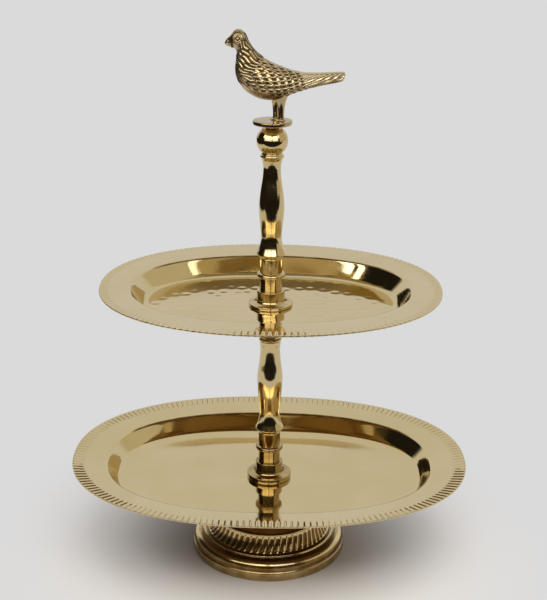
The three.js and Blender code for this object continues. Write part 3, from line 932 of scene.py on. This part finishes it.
def bird_legs(floor):
    """Two legs that widen into the body, each with its toes on the disc."""
    for index, (x, y) in enumerate(LEGS):
        outline = softened(np.vstack([through(LEG_PROFILE, 5), [(0.01, 0.2), (0.01, 20)]]), 0.3)
        name = f"bird_leg_{index + 1}"
        turned(name, outline[::-1], finial_polish, "finial", floor, columns=36, place=(x, y))
        for order, (turn, length) in enumerate(TOES):
            grid = toe((x, y), math.radians(turn), length, floor)
            faces = capped_faces(*grid.shape[:2])
            name = f"bird_toe_{index + 1}_{order + 1}"
            piece(name, grid.reshape(-1, 3), faces, finial_polish, "finial")


# ---- Studio ---------------------------------------------------------------------------------

PAPER = 0.70
BACKDROP = (PAPER, PAPER, PAPER * 1.01, 1)
# The table fades into the backdrop over a range of distances from its middle. Near the middle its
# paper is tinted warm: painted warm light thrown from the brass onto the table. In reflections it
# goes dark past its front edge and far to the left.
TABLE = {
    "radius": 5.0, "paper": (0.82, 0.785, 0.745, 1), "dark": (0.012, 0.01, 0.009, 1),
    "fade": (0.05, 0.25), "front_edge": (-0.46, -0.40), "left_edge": (-0.95, -0.75),
}
# The camera's place in metres, its lens in millimetres, and where it faces in degrees.
CAMERA = {
    "place": (0.0154, -0.8834, 0.513), "lens": 76.26, "down": 19.369, "yaw": -0.866, "roll": 0.613,
}
# Soft lights: direction from the stand's axis in degrees (0 is towards the camera), and width.
SOFT_LIGHTS = {
    "soft_light_left": {"turn": -30, "width": 0.62},
    "soft_light_right": {"turn": 23, "width": 0.44},
}
LIGHT_DISTANCE = 0.6
LIGHT_COLOUR = (1.0, 0.99, 0.97)
# Colours that the brass mirrors: the pale room, its warm side, overhead, and the dark front.
ROOM = {
    "pale": (PAPER, PAPER, PAPER * 1.02, 1),
    "warm_side": (0.58, 0.54, 0.43, 1),
    "overhead": (0.24, 0.21, 0.17, 1),
    "above_left_light": (0.30, 0.22, 0.075, 1),
    "above_right_light": (0.13, 0.095, 0.035, 1),
    "between_lights": (0.05, 0.04, 0.022, 1),
    "dark": (0.014, 0.012, 0.01, 1),
}
# Each soft light is dimmer towards its foot: heights of each part, and how bright it is.
LIGHT_PARTS = {"foot": (0.38, 0.54, 1.5), "head": (0.54, 0.82, 3.1)}
# Narrow lights beside them, a little further out: direction, height of the middle, width, how tall,
# and radiance.
LIGHT_SPOTS = {
    "left_edge": (-66, 0.72, 0.08, 0.34, 3.0),
    "right_edge": (53, 0.74, 0.12, 0.3, 1.8),
}
FILL = {"place": (0.16, -0.7, 1.4), "size": 1.0, "radiance": 4.3}


def studio_floor():
    """A wide pale table that fades into the backdrop."""
    radius = TABLE["radius"]
    corners = [(-radius, -radius, 0), (radius, -radius, 0), (radius, radius, 0), (-radius, radius, 0)]
    mesh = bpy.data.meshes.new("studio_floor")
    mesh.from_pydata(corners, [], [(0, 1, 2, 3)])
    s = Shader(bpy.data.materials.new("studio_floor"))
    place = s.add("ShaderNodeNewGeometry").outputs["Position"]
    split = s.add("ShaderNodeSeparateXYZ", {0: place})
    distance = s.add("ShaderNodeVectorMath", {0: place}, operation="LENGTH").outputs["Value"]
    far = s.ranged(distance, *TABLE["fade"], 0, 1, smooth_step=True)
    paper = s.add("ShaderNodeBsdfDiffuse", {"Color": TABLE["paper"]})
    glow = s.add("ShaderNodeEmission", {"Color": BACKDROP})
    dark = s.add("ShaderNodeEmission", {"Color": TABLE["dark"]})
    pale = s.add("ShaderNodeMixShader", {0: far, 1: paper.outputs[0], 2: glow.outputs[0]})
    front = s.ranged(split.outputs["Y"], *TABLE["front_edge"], 1, 0, smooth_step=True)
    left = s.ranged(split.outputs["X"], *TABLE["left_edge"], 1, 0, smooth_step=True)
    mirrored = s.add("ShaderNodeLightPath").outputs["Is Glossy Ray"]
    past_edge = s.math("MULTIPLY", s.math("MAXIMUM", front, left), mirrored)
    mesh.materials.append(s.surface(s.add("ShaderNodeMixShader", {
        0: past_edge, 1: pale.outputs[0], 2: dark.outputs[0],
    })))
    table = bpy.data.objects.new("studio_floor", mesh)
    bpy.context.scene.collection.objects.link(table)


def studio_world():
    """A pale backdrop. In front and to the left is a dark room, and overhead it is dim.

    Directions are in degrees: turns from the camera's side round to the right, and heights above
    level. Each change is eased over a few degrees.
    """
    world = bpy.data.worlds.new("studio")
    bpy.context.scene.world = world
    s = Shader(world)
    split = s.add("ShaderNodeSeparateXYZ", {0: s.add("ShaderNodeTexCoord").outputs["Generated"]})
    x, y, z = (split.outputs[axis] for axis in "XYZ")
    turn = s.math("ARCTAN2", x, s.math("MULTIPLY", y, -1.0))
    height = s.math("ARCSINE", z, 0.0)

    def ramp(value, low, high, start, end):
        low, high = math.radians(low), math.radians(high)
        return s.ranged(value, low, high, start, end, smooth_step=True)

    def sector(low, high):
        return s.math("MULTIPLY", ramp(turn, low, low + 10, 0, 1), ramp(turn, high - 10, high, 1, 0))

    front = sector(-134, 62)
    colour = s.blend(sector(48, 132), ROOM["pale"], ROOM["warm_side"])
    overhead = s.math("MULTIPLY", ramp(height, 52, 74, 0, 1), sector(-110, 110))
    overhead = s.math("MAXIMUM", overhead, ramp(height, 78, 87, 0, 1))
    colour = s.blend(overhead, colour, ROOM["overhead"])
    above = s.blend(ramp(turn, -8, 8, 0, 1), ROOM["above_left_light"], ROOM["above_right_light"])
    room = s.blend(ramp(height, 30, 40, 0, 1), ROOM["between_lights"], above)
    colour = s.blend(s.math("MULTIPLY", front, ramp(height, 60, 75, 1, 0)), colour, room)
    low_front = s.math("MULTIPLY", front, ramp(height, 8, 14, 1, 0))
    left = s.math("MULTIPLY", sector(-134, -60), ramp(height, 22, 32, 1, 0))
    tall_left = s.math("MULTIPLY", sector(-114, -66), ramp(height, 40, 50, 1, 0))
    dark = s.math("MAXIMUM", low_front, s.math("MAXIMUM", left, tall_left))
    colour = s.blend(dark, colour, ROOM["dark"])
    seen = s.add("ShaderNodeLightPath").outputs["Is Camera Ray"]
    colour = s.blend(seen, colour, BACKDROP)
    background = s.add("ShaderNodeBackground", {"Color": colour})
    output = s.add("ShaderNodeOutputWorld")
    s.tree.links.new(background.outputs[0], output.inputs["Surface"])


def area_light(name, place, facing, size, radiance):
    """A rectangular light that the camera doesn't see."""
    light = bpy.data.lights.new(name, "AREA")
    light.shape = "RECTANGLE"
    light.size, light.size_y = size
    light.energy = radiance * math.pi * size[0] * size[1]
    light.color = LIGHT_COLOUR
    made = bpy.data.objects.new(name, light)
    made.location = place
    made.rotation_mode = "QUATERNION"
    made.rotation_quaternion = facing.to_track_quat("-Z", "Y")
    made.visible_camera = False
    bpy.context.scene.collection.objects.link(made)
    return made


def soft_lights():
    for name, spec in SOFT_LIGHTS.items():
        turn = math.radians(spec["turn"])
        outward = Vector((math.sin(turn), -math.cos(turn), 0))
        for part, (low, high, radiance) in LIGHT_PARTS.items():
            place = outward * LIGHT_DISTANCE + Vector((0, 0, (low + high) / 2))
            area_light(f"{name}_{part}", place, -outward, (spec["width"], high - low), radiance)
    for name, (degrees, height, width, tall, radiance) in LIGHT_SPOTS.items():
        turn = math.radians(degrees)
        outward = Vector((math.sin(turn), -math.cos(turn), 0))
        place = outward * LIGHT_DISTANCE * 1.05 + Vector((0, 0, height))
        area_light(f"light_spot_{name}", place, -outward, (width, tall), radiance)
    place, size = Vector(FILL["place"]), FILL["size"]
    fill = area_light("fill_light", place, Vector((0, 0, 0.1)) - place, (size, size), FILL["radiance"])
    fill.visible_glossy = False


def camera():
    data = bpy.data.cameras.new("camera")
    data.lens = CAMERA["lens"]
    data.sensor_width = 36
    data.sensor_fit = "AUTO"
    made = bpy.data.objects.new("camera", data)
    down, yaw, roll = (math.radians(CAMERA[key]) for key in ("down", "yaw", "roll"))
    forward = Vector((math.sin(yaw) * math.cos(down), math.cos(yaw) * math.cos(down), -math.sin(down)))
    level = Vector((math.cos(yaw), -math.sin(yaw), 0))
    upright = level.cross(forward)
    right = level * math.cos(roll) + upright * math.sin(roll)
    up = upright * math.cos(roll) - level * math.sin(roll)
    facing = Matrix((right, up, -forward)).transposed().to_4x4()
    made.matrix_world = Matrix.Translation(CAMERA["place"]) @ facing
    bpy.context.scene.collection.objects.link(made)
    bpy.context.scene.camera = made


# ---- Making everything ----------------------------------------------------------------------

foot()
washer("foot_washer", zinc_steel)
lock_washer()
nut()
rod_low, rod_high = bottom("tie_rod"), top("tie_rod")
rod_threads = [(rod_low, rod_low + 16), (rod_high - 14, rod_high)]
threaded("tie_rod", rod_low, rod_high, rod_threads, zinc_steel, "stand")
for level in ("lower", "upper"):
    tray(level)
    column(level)
    washer(f"{level}_tray_washer", fibre)
disc("tray_support_disc", turned_brass, "stand", None)
disc("finial_disc", finial_polish, "finial", 2.2)
stud_low, stud_high = bottom("finial_stud"), top("finial_stud")
threaded("finial_stud", stud_low, stud_high, [(stud_low, stud_high)], zinc_steel, "stud")
perch = top("finial_disc")
bird_body(perch)
bird_eyes(perch)
bird_legs(perch)

studio_floor()
studio_world()
soft_lights()
camera()
bpy.context.scene.view_settings.view_transform = "Standard"
